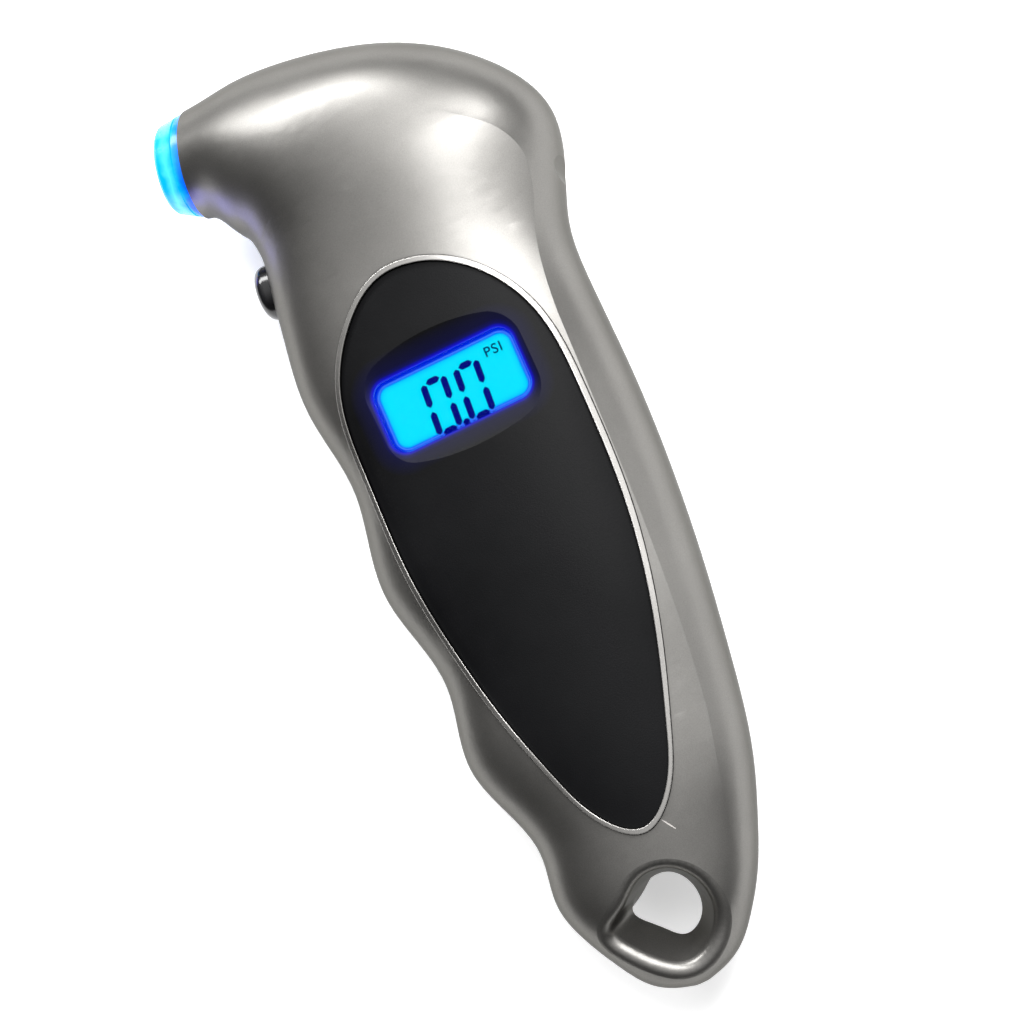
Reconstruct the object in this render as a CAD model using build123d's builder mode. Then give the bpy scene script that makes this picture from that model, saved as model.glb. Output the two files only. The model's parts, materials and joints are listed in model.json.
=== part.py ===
"""Digital tyre pressure gauge with a pistol grip.

The gauge lies on its back with the display facing up. +Y runs up the handle to the head, +Z comes
out of the display, and the nozzle points to -X. The moulded body is symmetric about its middle
plane, where the front and back shells meet. While the pieces are made, the origin is the display's
centre on that plane; save() moves each one so that the finished origin is the bottom centre of the
whole gauge. All sizes are in millimetres.
"""

from build123d import *
import os
from math import cos, sin, tan, radians

# ---------------------------------------------------------------- body
HANDLE_LENGTH = 91.0  # display centre to the tail end
HEAD_HEIGHT = 61.0  # display centre to the top of the head
HALF_WIDTH = 23.5  # display centre to the spine
HANDLE_DEPTH = 13.5  # middle plane to the crown of the handle
HEAD_DEPTH = 15.2  # middle plane to the crown of the head
WALL = 2.0

# The body's lines, from the nozzle rim round the head and down to the tail: where each section
# meets the spine and the finger side, in shares of HALF_WIDTH across and of HEAD_HEIGHT (above
# the display centre) or HANDLE_LENGTH (below it) along; then its depth, in shares of HEAD_DEPTH
# above and HANDLE_DEPTH below; then how square it is, from 0 for an ellipse.
HEAD_SECTIONS = [
    ((-0.945, 0.993), (-1.140, 0.726), 0.556, 0.00),
    ((-0.532, 0.996), (-0.996, 0.666), 0.735, 0.04),
    ((0.043, 0.957), (-0.919, 0.620), 0.892, 0.12),
    ((0.596, 0.871), (-0.889, 0.590), 0.980, 0.24),
    ((1.013, 0.738), (-0.877, 0.554), 1.000, 0.36),
    ((1.226, 0.582), (-0.881, 0.516), 0.980, 0.48),
    ((1.157, 0.434), (-0.911, 0.443), 0.936, 0.64),
    ((1.038, 0.311), (-0.949, 0.328), 0.900, 0.84),
    ((1.000, 0.148), (-0.991, 0.148), 0.888, 1.00),
]
HANDLE_SECTIONS = [
    ((1.009, -0.066), (-0.911, -0.066), 1.000, 1.00),
    ((0.983, -0.242), (-0.991, -0.242), 0.995, 1.00),
    ((0.915, -0.418), (-0.855, -0.418), 0.960, 0.96),
    ((0.838, -0.555), (-0.923, -0.555), 0.915, 0.90),
    ((0.702, -0.720), (-0.728, -0.720), 0.835, 0.80),
    ((0.579, -0.805), (-0.762, -0.805), 0.770, 0.70),
    ((0.447, -0.879), (-0.668, -0.879), 0.690, 0.60),
    ((0.306, -0.934), (-0.545, -0.934), 0.580, 0.40),
    ((0.162, -0.974), (-0.421, -0.974), 0.430, 0.20),
    ((0.017, -0.9935), (-0.281, -0.9935), 0.270, 0.00),
    ((-0.068, -1.000), (-0.187, -1.000), 0.150, 0.00),
]
SKIRT = 3.0  # every half form runs on this far past the middle plane, so that it is cut off clean
SOLID_TAIL = 26.0  # tail end to the hollow
FULL_INSET_DEPTH = 8.0  # sections shallower than this are taken in by less, in proportion

# ---------------------------------------------------------------- panels
HEAD_TO_PANEL = 41.8  # top of the head to the top of the panel
TAIL_TO_PANEL = 23.4  # tail end to the bottom of the panel
PANEL_HALF_WIDTH = 16.9
PANEL_THICKNESS = 1.5
PANEL_DROP = 0.3  # panel face below the shell's surface
PANEL_FLOOR = 1.3  # shell wall behind the panel
TRIM_WIDTH = 0.8  # silver ring round the panel
TRIM_PROUD = 0.3
PAD_MARGIN = 2.5  # panel's edge to the flat foot on the back one
PAD_RISE = 0.2  # that foot's height past the head's crown
PAD_Z = HEAD_DEPTH + PAD_RISE
FIT = 0.1  # gap all round a seated piece
PANEL_LIFT = 0.05  # glue under the panel
# Right half of the outline, in shares of PANEL_HALF_WIDTH and of its height above or depth below
# the display's centre, from the top down.
PANEL_SIDE = [
    (0.60, 0.755),
    (0.895, 0.36),
    (1.0, -0.12),
    (0.965, -0.36),
    (0.80, -0.60),
    (0.51, -0.835),
    (0.29, -0.95),
]
SKIN_LOW = 4.0  # a height between the middle plane and everything that is cut from the skin

# ---------------------------------------------------------------- display
WINDOW = (22.4, 11.0)
WINDOW_CORNER = 2.4
WINDOW_Z = 11.5  # face of the lens above the middle plane
LENS_THICKNESS = 1.25
LENS_FLANGE = (1.7, 0.5)  # how far it reaches out, and its thickness
DISH_SINK = 0.1  # dish floor below the lens's face
DISH_SLOPE = 27.0  # degrees from level
DISH_RUN = 6.0
DISH_WALL = 0.6
GLASS = (25.0, 14.0)
GLASS_LAYER = 0.75  # each of the display's two sheets
GLASS_LEDGE = 2.0  # the upper sheet overhangs the lower by this, above the contact strip
BACKLIGHT_THICKNESS = 1.2
LAYER_GAP = 0.05
BOARD = (26.0, 50.0)
BOARD_THICKNESS = 1.2
BOARD_TOP_EDGE = 16.0  # above the display centre
CUT_OUT = (28.6, 17.6)  # window in the shell behind the panel
CUT_OUT_CORNER = 4.0

# ---------------------------------------------------------------- nozzle
# Places along its axis are distances out of the rim, so that those inside are negative.
RING_LENGTH = 4.6  # light ring in front of the rim
RING_BASE_RADIUS = 8.0
RING_TIP_RADIUS = 7.0
SPIGOT_RADIUS = 7.0
SPIGOT_END = -6.5
MOUTH_RADIUS = 4.2  # takes a 7.7 mm valve stem
MOUTH_LENGTH = 3.4
CHUCK_RADIUS = 6.2
CHUCK_TIP = 3.7
CHUCK_NECK_RADIUS = 4.5
CHUCK_END = -15.4
SEAL_RADIUS = 4.95
SEAL_HOLE_RADIUS = 2.0
SEAL_THICKNESS = 3.0
PIN_RADIUS = 0.75
PIN_FOOT = (2.1, 1.0)  # radius and thickness
PIN_FOOT_FACE = -8.0
PASSAGE_RADIUS = 1.6
PIPE_RADIUS = 3.0
PIPE_BORE_RADIUS = 1.0
PIPE_END = -18.6
WASHER = (3.6, 0.8)  # outer radius and thickness
SENSOR_RADIUS = 5.2
SENSOR_LENGTH = 4.0
RING_BOARD = (8.6, 1.0)  # outer radius and thickness
LED = (2.0, 3.0, 2.0)  # out from the axis, across, and along
SADDLES = [(-14.0, CHUCK_NECK_RADIUS), (-17.6, PIPE_RADIUS)]  # each rib's back face and bore
SADDLE_THICKNESS = 1.4

# ---------------------------------------------------------------- button
BUTTON_LEVEL = 28.6  # button's centre above the display centre
BUTTON_TILT = 7.5  # degrees that its axis points up from -X
BUTTON_RADIUS = 4.3
BUTTON_DOME = 1.8
BUTTON_EDGE = 1.6  # rounding of its cap
BUTTON_FLANGE = (5.2, 1.0)
BUTTON_TRAVEL = 0.5
SWITCH_SIDE = 6.0
SWITCH_DEPTH = 3.5
PLUNGER_RADIUS = 1.7

# ---------------------------------------------------------------- battery bay
CELL_RADIUS = 5.8
CELL_THICKNESS = 5.4
CELL_COUNT = 3
CELL_LIP = 0.15
TRAY_WALL = 0.7
CONTACT = 0.4  # contact leaf thickness
CONTACT_ROOM = 1.4  # for the sprung leaf
DOOR_TOP = 13.0  # door's edge nearer the head, above the display centre
DOOR_HALF_WIDTH = 7.3
DOOR_THICKNESS = 1.7
DOOR_SKIRT = 1.2
DOOR_CORNER = 2.0
DOOR_GAP = 0.25
DOOR_SINK = 0.3  # door's face below the foot around it
DOOR_MARGIN = 1.5  # door's edge to the tray's end
DOOR_RIB = (6.0, 1.2)  # each rib's distance from the tray's end, and its thickness
COLLAR = 1.2  # wall round the door's opening
NAIL_SCOOP = (4.8, 0.8)  # radius and depth of the scoop beside the door
NOTCH = (25.25, 4.1, 0.6)  # notch in the spine: its level, its height and its depth

# ---------------------------------------------------------------- lanyard hole
TAIL_TO_HOLE = 10.6  # tail end to the hole's centre
HOLE_X = -3.4
HOLE_FLARE_Z = 13.0  # height at which the flared outline below applies
HOLE_EDGE = 1.6  # rounding of its rim
# Both outlines go clockwise from the top, from the hole's centre.
HOLE_WAIST = [
    (0.2, 5.6),
    (3.1, 4.6),
    (4.6, 1.4),
    (3.7, -1.7),
    (1.2, -2.9),
    (-1.8, -0.6),
    (-4.4, 2.5),
    (-2.6, 4.8),
]
HOLE_MOUTH = [
    (1.6, 7.1),
    (7.5, 4.5),
    (9.8, -1.9),
    (7.8, -7.9),
    (1.2, -12.2),
    (-6.6, -7.7),
    (-10.5, -0.2),
    (-5.1, 3.0),
]

# ---------------------------------------------------------------- screws
SCREW_SHANK_RADIUS = 1.0
SCREW_HEAD = (1.9, 1.3)  # radius and height
SCREW_LENGTH = 9.0
BOSS_RADIUS = 3.0
SCREW_SEAT_Z = -4.5  # under the heads
SCREW_EASE = 0.02  # round a threaded shank
POST_RADIUS = 2.2
POST_SCREW = (0.8, 2.0)  # shank radius, and length in the post
POST_SCREW_HEAD = (1.6, 1.1)

LEAD_RADIUS = 0.5
LEAD_X = 3.0  # leads from the cells, across from the middle


# ================================================================ body form
def point(shares):
    """A place on the middle plane from its shares of the body's width and length."""
    across, along = shares
    return Vector(across * HALF_WIDTH, along * (HEAD_HEIGHT if along > 0 else HANDLE_LENGTH))


def sections():
    """Every section of the body as its spine point, finger-side point, depth and squareness."""
    head = [(point(o), point(i), d * HEAD_DEPTH, n) for o, i, d, n in HEAD_SECTIONS]
    handle = [(point(o), point(i), d * HANDLE_DEPTH, n) for o, i, d, n in HANDLE_SECTIONS]
    return head, handle


def half_section(spine, fingers, depth, square, inset):
    """The front half of one upright section, from the spine to the finger side, with its skirt."""
    chord = spine - fingers
    across = chord.normalized()
    plane = Plane(origin=(spine + fingers) / 2, x_dir=across, z_dir=across.cross(Vector(0, 0, 1)))
    taken = inset * min(1, depth / FULL_INSET_DEPTH)
    half, rise = chord.length / 2 - taken, depth - taken
    # A quintic curve whose handles rise by this much at each side and meet this far from the middle.
    # Its crown comes out at the rise: 32 of it are 10 of the low handles and 20 of the high ones.
    low = (0.63 + 0.27 * square) * rise
    high = (32 * rise - 10 * low) / 20
    reach = (0.494 + 0.256 * square) * half
    with BuildSketch(plane) as face:
        with BuildLine():
            Bezier((half, 0), (half, low), (reach, high), (-reach, high), (-half, low), (-half, 0))
            Polyline((-half, 0), (-half, -SKIRT), (half, -SKIRT), (half, 0))
        make_face()
    return face.sketch


def form(inset=0.0):
    """The front half of the body, taken in by inset all over."""
    with BuildPart() as half:
        for spine, fingers, depth, square in HEAD + HANDLE:
            add(half_section(spine, fingers, depth, square, inset))
        loft()
    return half.part


def slab(outline, low, high):
    """A flat outline made into a block between two heights."""
    with BuildPart() as block:
        with BuildSketch(Plane.XY.offset(low)):
            add(outline)
        extrude(amount=high - low)
    return block.part


def box(x, y, z):
    """A block between two places along each axis."""
    with BuildPart() as block:
        with BuildSketch(Plane.XY.offset(z[0])):
            with Locations(((x[0] + x[1]) / 2, (y[0] + y[1]) / 2)):
                Rectangle(x[1] - x[0], y[1] - y[0])
        extrude(amount=z[1] - z[0])
    return block.part


HIGH = HEAD_DEPTH + 5  # above everything in the front half
HEAD, HANDLE = sections()
PANEL_DEPTH = PANEL_DROP + PANEL_THICKNESS
OUTER = form()
PANEL_FACE = form(PANEL_DROP)
PANEL_BACK = form(PANEL_DEPTH - PANEL_LIFT)
POCKET_FACE = form(PANEL_DEPTH)
TRIM_FACE = form(-TRIM_PROUD)
FLOOR_FACE = form(PANEL_DEPTH + PANEL_FLOOR)
CAVITY = form(WALL) & box((-50, 50), (SOLID_TAIL - HANDLE_LENGTH, HEAD_HEIGHT), (-SKIRT, HIGH))

# The nozzle's planes: RIM faces out of the rim, AXIAL holds the axis as its Y.
RIM_UP = (HEAD[0][0] - HEAD[0][1]).normalized()
RIM_CENTRE = (HEAD[0][0] + HEAD[0][1]) / 2
NOZZLE_DIR = Vector(0, 0, 1).cross(RIM_UP)
RIM = Plane(origin=RIM_CENTRE, x_dir=RIM_UP, z_dir=NOZZLE_DIR)
AXIAL = Plane(origin=RIM_CENTRE, x_dir=RIM_UP, z_dir=RIM_UP.cross(NOZZLE_DIR))
NOZZLE_AXIS = Axis(RIM_CENTRE, NOZZLE_DIR)


def turned(*profile):
    """A piece turned round the nozzle's axis, from its (radius, distance out of the rim) corners."""
    with BuildPart() as piece:
        with BuildSketch(AXIAL):
            with BuildLine():
                Polyline(*profile, close=True)
            make_face()
        revolve(axis=NOZZLE_AXIS)
    return piece.part


def washer(bore, outer, back, front):
    """A plain ring round the nozzle's axis, between two distances out of the rim."""
    return turned((bore, back), (outer, back), (outer, front), (bore, front))


def panel_outline(grow):
    """The panels' egg-shaped outline, grown all round by grow."""
    top = HEAD_HEIGHT - HEAD_TO_PANEL + grow
    bottom = HANDLE_LENGTH - TAIL_TO_PANEL + grow
    wide = PANEL_HALF_WIDTH + grow
    right = [(x * wide, y * (top if y > 0 else bottom)) for x, y in PANEL_SIDE]
    left = [(-x, y) for x, y in reversed(right)]
    with BuildSketch() as egg:
        with BuildLine():
            Spline((0, top), *right, (0, -bottom), *left, periodic=True)
        make_face()
    return egg.sketch


def rounded(size, corner, grow=0.0):
    """A rounded rectangle about the display's centre, grown all round by grow."""
    with BuildSketch() as outline:
        RectangleRounded(size[0] + 2 * grow, size[1] + 2 * grow, corner + grow)
    return outline.sketch


# ================================================================ places
SCREW_PLACES = [
    (0.60 * HALF_WIDTH, 0.62 * HEAD_HEIGHT),
    (-0.38 * HALF_WIDTH, 0.575 * HEAD_HEIGHT),
    (-0.40 * HALF_WIDTH, -0.505 * HANDLE_LENGTH),
    (0.44 * HALF_WIDTH, -0.505 * HANDLE_LENGTH),
]
POST_LEVELS = [BOARD_TOP_EDGE - share * BOARD[1] for share in (0.56, 0.93)]
POST_PLACES = [(x * BOARD[0], y) for x in (-0.38, 0.38) for y in POST_LEVELS]

# Heights in the display's stack, from the lens down.
LENS_BASE = WINDOW_Z - LENS_THICKNESS
GLASS_TOP = LENS_BASE - LAYER_GAP
GLASS_BASE = GLASS_TOP - 2 * GLASS_LAYER
BACKLIGHT_TOP = GLASS_BASE - LAYER_GAP
BOARD_TOP = BACKLIGHT_TOP - BACKLIGHT_THICKNESS - LAYER_GAP
BOARD_BASE = BOARD_TOP - BOARD_THICKNESS
DISH_FLOOR = WINDOW_Z - DISH_SINK
DISH_RISE = DISH_RUN * tan(radians(DISH_SLOPE))

# The button's plane faces out of it. The wall curves in behind its flange.
BUTTON_DIR = Vector(-cos(radians(BUTTON_TILT)), sin(radians(BUTTON_TILT)), 0)
BUTTON = Plane(origin=(HEAD[6][1].X, BUTTON_LEVEL, 0), x_dir=(0, 0, 1), z_dir=BUTTON_DIR)
FLANGE_DEPTH = WALL + 2.2
STEM_END = FLANGE_DEPTH + BUTTON_FLANGE[1] + 1.6
SWITCH_FACE = STEM_END + 2 * BUTTON_TRAVEL
SWITCH_BACK = SWITCH_FACE + SWITCH_DEPTH

# The battery bay: the cells lie end to end up the middle of the handle, and it opens to the back.
TRAY_RADIUS = CELL_RADIUS + FIT
TRAY_Z = BOARD_BASE - 0.2 - TRAY_WALL - TRAY_RADIUS
BAY_OPEN = TRAY_RADIUS - TRAY_Z  # middle plane to the tray's open side
BAY_LENGTH = CELL_COUNT * CELL_THICKNESS + CONTACT + CONTACT_ROOM
TRAY_TOP = DOOR_TOP - DOOR_MARGIN
TRAY_LOW = TRAY_TOP - BAY_LENGTH - 2 * TRAY_WALL
DOOR_LOW = TRAY_LOW - DOOR_MARGIN
STACK_LOW = TRAY_LOW + TRAY_WALL + CONTACT_ROOM


def door_block(gap, low, high=HIGH):
    """The battery door's outline less a gap all round, as a block in the front half."""
    with BuildSketch() as outline:
        with Locations((0, (DOOR_TOP + DOOR_LOW) / 2)):
            RectangleRounded(2 * (DOOR_HALF_WIDTH - gap), DOOR_TOP - DOOR_LOW - 2 * gap, DOOR_CORNER - gap)
    return slab(outline.sketch, low, high)


def hole_void():
    """The lanyard hole: narrowest at the middle plane and flared to the face."""
    centre = Vector(HOLE_X, TAIL_TO_HOLE - HANDLE_LENGTH)
    with BuildPart() as void:
        with BuildSketch(Plane.XY.offset(-1)):
            with BuildLine():
                Spline(*[centre + Vector(*p) for p in HOLE_WAIST], periodic=True)
            make_face()
        with BuildSketch(Plane.XY.offset(HOLE_FLARE_Z)):
            with BuildLine():
                Spline(*[centre + Vector(*p) for p in HOLE_MOUTH], periodic=True)
            make_face()
        loft(ruled=True)
    return void.part


def spine_notch():
    """A shallow notch across the spine, where the shells can be prised apart."""
    level, height, depth = NOTCH
    radius = (height**2 / 4 + depth**2) / (2 * depth)
    spine, below = HEAD[6][0], HEAD[7][0]
    slope = (spine - below).normalized()
    on_spine = spine + slope * ((level - spine.Y) / slope.Y)
    out = Vector(slope.Y, -slope.X)
    with BuildPart() as scoop:
        with BuildSketch(Plane.XY.offset(-SKIRT)):
            with Locations(on_spine + out * (radius - depth)):
                Circle(radius)
        extrude(amount=SKIRT + HANDLE_DEPTH)
    return scoop.part


def saddle(start, bore):
    """A rib across the barrel that holds the nozzle, with a bore round it."""
    with BuildPart() as rib:
        with BuildSketch(RIM.offset(start)):
            Rectangle(21, 3 * HEAD_DEPTH)
            Circle(bore + FIT, mode=Mode.SUBTRACT)
        extrude(amount=SADDLE_THICKNESS)
    return rib.part & CAVITY


# ================================================================ shells
def half_shell():
    """What both shells share, as the front one."""
    backing = slab(panel_outline(TRIM_WIDTH + WALL), SKIN_LOW, HIGH) - FLOOR_FACE
    pocket = slab(panel_outline(TRIM_WIDTH + 2 * FIT), SKIN_LOW, HIGH) - POCKET_FACE
    with BuildPart() as shell:
        add(OUTER)
        add(hole_void(), mode=Mode.SUBTRACT)
        fillet(edges(Select.LAST).sort_by(SortBy.LENGTH)[-1], HOLE_EDGE)
        add(CAVITY - backing, mode=Mode.SUBTRACT)
        for start, bore in SADDLES:
            add(saddle(start, bore))
        add(pocket, mode=Mode.SUBTRACT)
        socket = SPIGOT_RADIUS + FIT
        add(turned((0, 1), (socket, 1), (socket, SPIGOT_END), (0, SPIGOT_END)), mode=Mode.SUBTRACT)
        add(spine_notch(), mode=Mode.SUBTRACT)
        with BuildSketch(BUTTON.offset(-FLANGE_DEPTH)):
            Circle(BUTTON_RADIUS + FIT)
        extrude(amount=FLANGE_DEPTH + 5, mode=Mode.SUBTRACT)
    return shell.part


def pegs(places, radius, low, high):
    """A round peg at each place, between two heights."""
    with BuildPart() as row:
        with BuildSketch(Plane.XY.offset(low)):
            with Locations(*places):
                Circle(radius)
        extrude(amount=high - low)
    return row.part


HALF = half_shell()
BOSSES = pegs(SCREW_PLACES, BOSS_RADIUS, 0, HIGH) & CAVITY
SWITCH_RIB_DEPTH = SWITCH_BACK + SADDLE_THICKNESS


def switch_rib():
    """A wall across the grip that backs the button's switch."""
    with BuildPart() as rib:
        with BuildSketch(BUTTON.offset(-SWITCH_RIB_DEPTH)):
            Rectangle(3 * HEAD_DEPTH, SWITCH_SIDE + 3)
        extrude(amount=SADDLE_THICKNESS)
    return rib.part & CAVITY


with BuildPart() as front_shell:
    add(HALF)
    add(BOSSES)
    add(switch_rib())
    add(pegs(POST_PLACES, POST_RADIUS, BOARD_TOP, HIGH) & CAVITY)
    add(slab(rounded(CUT_OUT, CUT_OUT_CORNER), BOARD_BASE, HIGH), mode=Mode.SUBTRACT)
    screw_bores = pegs(SCREW_PLACES, SCREW_SHANK_RADIUS + SCREW_EASE, -1, SCREW_LENGTH + SCREW_SEAT_Z + 0.5)
    add(screw_bores, mode=Mode.SUBTRACT)
    post_bores = pegs(POST_PLACES, POST_SCREW[0] + SCREW_EASE, BOARD_BASE, BOARD_TOP + POST_SCREW[1])
    add(post_bores, mode=Mode.SUBTRACT)
    split(bisect_by=Plane.XY, keep=Keep.TOP)

with BuildPart() as back_half:
    add(HALF)
    add(BOSSES)
    add(switch_rib())
    add(door_block(-COLLAR, BAY_OPEN + FIT) & CAVITY)
    add(door_block(0, BAY_OPEN), mode=Mode.SUBTRACT)
    add(pegs(SCREW_PLACES, SCREW_SHANK_RADIUS + FIT, -1, HIGH), mode=Mode.SUBTRACT)
    add(pegs(SCREW_PLACES, SCREW_HEAD[0] + FIT, -SCREW_SEAT_Z, HIGH), mode=Mode.SUBTRACT)
    split(bisect_by=Plane.XY, keep=Keep.TOP)

with BuildPart() as back_shell:
    add(mirror(back_half.part, about=Plane.XY))


# ================================================================ panels and trim
def plate(outline, face, back=PANEL_BACK):
    """A piece of skin inside an outline, between two inset forms."""
    return (slab(outline, SKIN_LOW, HIGH) & face) - back


TRIM_OUTLINE = panel_outline(TRIM_WIDTH + FIT) - panel_outline(FIT)

with BuildPart() as front_trim:
    add(plate(TRIM_OUTLINE, TRIM_FACE))

with BuildPart() as back_trim:
    add(mirror(front_trim.part, about=Plane.XY))

DISH_OUTLINE = rounded(CUT_OUT, CUT_OUT_CORNER, -2 * FIT)
with BuildPart() as front_panel:
    add(plate(panel_outline(0), PANEL_FACE))
    add(slab(DISH_OUTLINE, DISH_FLOOR - DISH_WALL, HIGH) & PANEL_FACE)
    add(slab(DISH_OUTLINE, SKIN_LOW, DISH_FLOOR - DISH_WALL), mode=Mode.SUBTRACT)
    with BuildSketch(Plane.XY.offset(DISH_FLOOR)):
        add(rounded(WINDOW, WINDOW_CORNER, 0.2))
    extrude(amount=DISH_RISE, taper=DISH_SLOPE - 90, mode=Mode.SUBTRACT)
    with BuildSketch(Plane.XY.offset(BOARD_TOP)):
        add(rounded(WINDOW, WINDOW_CORNER, FIT))
    extrude(amount=HIGH, mode=Mode.SUBTRACT)

with BuildPart() as back_half_panel:
    add(plate(panel_outline(0), PANEL_FACE))
    add(slab(panel_outline(-PAD_MARGIN), HANDLE_DEPTH - PANEL_DEPTH, PAD_Z) - PANEL_BACK)
    add(door_block(0, BAY_OPEN), mode=Mode.SUBTRACT)
    with BuildSketch(Plane.YZ.offset(-NAIL_SCOOP[0])):
        with Locations((DOOR_LOW - 1, PAD_Z + NAIL_SCOOP[0] - NAIL_SCOOP[1])):
            Circle(NAIL_SCOOP[0])
    extrude(amount=2 * NAIL_SCOOP[0], mode=Mode.SUBTRACT)

with BuildPart() as back_panel:
    add(mirror(back_half_panel.part, about=Plane.XY))

# ================================================================ display
with BuildPart() as display_lens:
    with BuildSketch(Plane.XY.offset(LENS_BASE)):
        add(rounded(WINDOW, WINDOW_CORNER))
    extrude(amount=LENS_THICKNESS)
    with BuildSketch(Plane.XY.offset(LENS_BASE)):
        add(rounded(WINDOW, WINDOW_CORNER, LENS_FLANGE[0]))
    extrude(amount=LENS_FLANGE[1])

GLASS_WIDTH = (-GLASS[0] / 2, GLASS[0] / 2)
LEDGE_Y = -GLASS[1] / 2  # display glass's lower edge

with BuildPart() as display_glass:
    add(box(GLASS_WIDTH, (LEDGE_Y, -LEDGE_Y), (GLASS_BASE + GLASS_LAYER, GLASS_TOP)))
    add(box(GLASS_WIDTH, (LEDGE_Y + GLASS_LEDGE, -LEDGE_Y), (GLASS_BASE, GLASS_TOP)))

with BuildPart() as light_guide:
    add(box(GLASS_WIDTH, (LEDGE_Y + GLASS_LEDGE, -LEDGE_Y), (BOARD_TOP, BACKLIGHT_TOP)))
    add(box((-1.8, 1.8), (-LEDGE_Y - 1.5, -LEDGE_Y + 1), (BOARD_TOP - 1, HIGH)), mode=Mode.SUBTRACT)

with BuildPart() as backlight_led:
    add(box((-1.6, 1.6), (-LEDGE_Y - 1.3, -LEDGE_Y - 0.1), (BOARD_TOP, BACKLIGHT_TOP)))

with BuildPart() as contact_strip:
    across = (GLASS_WIDTH[0] + 1, GLASS_WIDTH[1] - 1)
    add(box(across, (LEDGE_Y + 0.1, LEDGE_Y + 1.6), (BOARD_TOP, GLASS_BASE + GLASS_LAYER)))

with BuildPart() as circuit_board:
    with BuildSketch(Plane.XY.offset(BOARD_BASE)):
        with Locations((0, BOARD_TOP_EDGE - BOARD[1] / 2)):
            RectangleRounded(BOARD[0], BOARD[1], 3.0)
        with Locations(*POST_PLACES):
            Circle(POST_SCREW[0] + FIT, mode=Mode.SUBTRACT)
    extrude(amount=BOARD_THICKNESS)

with BuildPart() as controller_chip:
    with Locations((0, -21, BOARD_BASE)):
        Sphere(4.5, mode=Mode.ADD)
    add(box((-9, 9), (-30, -12), (BOARD_BASE - 1.3, BOARD_BASE)), mode=Mode.INTERSECT)

with BuildPart() as board_screws:
    add(pegs(POST_PLACES, POST_SCREW[0], BOARD_BASE, BOARD_TOP + POST_SCREW[1] - 0.2))
    add(pegs(POST_PLACES, POST_SCREW_HEAD[0], BOARD_BASE - POST_SCREW_HEAD[1], BOARD_BASE))

# ================================================================ case screws
with BuildPart() as case_screws:
    add(pegs(SCREW_PLACES, SCREW_SHANK_RADIUS, SCREW_SEAT_Z, SCREW_SEAT_Z + SCREW_LENGTH))
    with BuildSketch(Plane.XY.offset(SCREW_SEAT_Z - SCREW_HEAD[1])):
        with Locations(*SCREW_PLACES):
            Circle(SCREW_HEAD[0])
            Rectangle(2.2, 0.5, mode=Mode.SUBTRACT)
            Rectangle(0.5, 2.2, mode=Mode.SUBTRACT)
    extrude(amount=SCREW_HEAD[1] - 0.5)
    add(pegs(SCREW_PLACES, SCREW_HEAD[0], SCREW_SEAT_Z - 0.5, SCREW_SEAT_Z))

# ================================================================ nozzle
SEAL_FRONT = CHUCK_TIP - MOUTH_LENGTH
SEAL_BACK = SEAL_FRONT - SEAL_THICKNESS
SPIGOT_BORE = CHUCK_RADIUS + FIT

with BuildPart() as light_ring:
    add(
        turned(
            (SPIGOT_BORE, SPIGOT_END),
            (SPIGOT_RADIUS, SPIGOT_END),
            (SPIGOT_RADIUS, 0.1),
            (RING_BASE_RADIUS, 0.1),
            (RING_BASE_RADIUS, 1.0),
            (RING_BASE_RADIUS - 0.35, 1.1),
            (RING_BASE_RADIUS - 0.35, 1.4),
            (RING_BASE_RADIUS - 0.15, 1.5),
            (RING_TIP_RADIUS, RING_LENGTH - 0.4),
            (RING_TIP_RADIUS - 0.4, RING_LENGTH),
            (CHUCK_RADIUS - 0.8, RING_LENGTH),
            (CHUCK_RADIUS - 0.8, CHUCK_TIP + FIT),
            (SPIGOT_BORE, CHUCK_TIP + FIT),
        )
    )

with BuildPart() as nozzle_body:
    add(
        turned(
            (MOUTH_RADIUS, CHUCK_TIP),
            (CHUCK_RADIUS, CHUCK_TIP),
            (CHUCK_RADIUS, SADDLES[0][0] + SADDLE_THICKNESS + FIT),
            (CHUCK_NECK_RADIUS, SADDLES[0][0] + SADDLE_THICKNESS + FIT),
            (CHUCK_NECK_RADIUS, SADDLES[0][0] - FIT),
            (CHUCK_NECK_RADIUS + 1, SADDLES[0][0] - FIT),
            (CHUCK_NECK_RADIUS + 1, CHUCK_END),
            (PIN_FOOT[0] + FIT, CHUCK_END),
            (PIN_FOOT[0] + FIT, PIN_FOOT_FACE),
            (PASSAGE_RADIUS, PIN_FOOT_FACE),
            (PASSAGE_RADIUS, SEAL_BACK),
            (SEAL_RADIUS + 0.05, SEAL_BACK),
            (SEAL_RADIUS + 0.05, SEAL_FRONT),
            (MOUTH_RADIUS, SEAL_FRONT),
        )
    )

with BuildPart() as nozzle_seal:
    add(washer(SEAL_HOLE_RADIUS, SEAL_RADIUS, SEAL_BACK, SEAL_FRONT))

with BuildPart() as depressor_pin:
    foot, thickness = PIN_FOOT
    add(washer(0, PIN_RADIUS, PIN_FOOT_FACE, SEAL_FRONT - 0.7))
    add(washer(0, foot, PIN_FOOT_FACE - thickness, PIN_FOOT_FACE))
    with BuildSketch(RIM.offset(PIN_FOOT_FACE - thickness)):
        with PolarLocations(PASSAGE_RADIUS - 0.4, 4):
            Circle(0.3)
    extrude(amount=thickness, mode=Mode.SUBTRACT)

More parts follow.
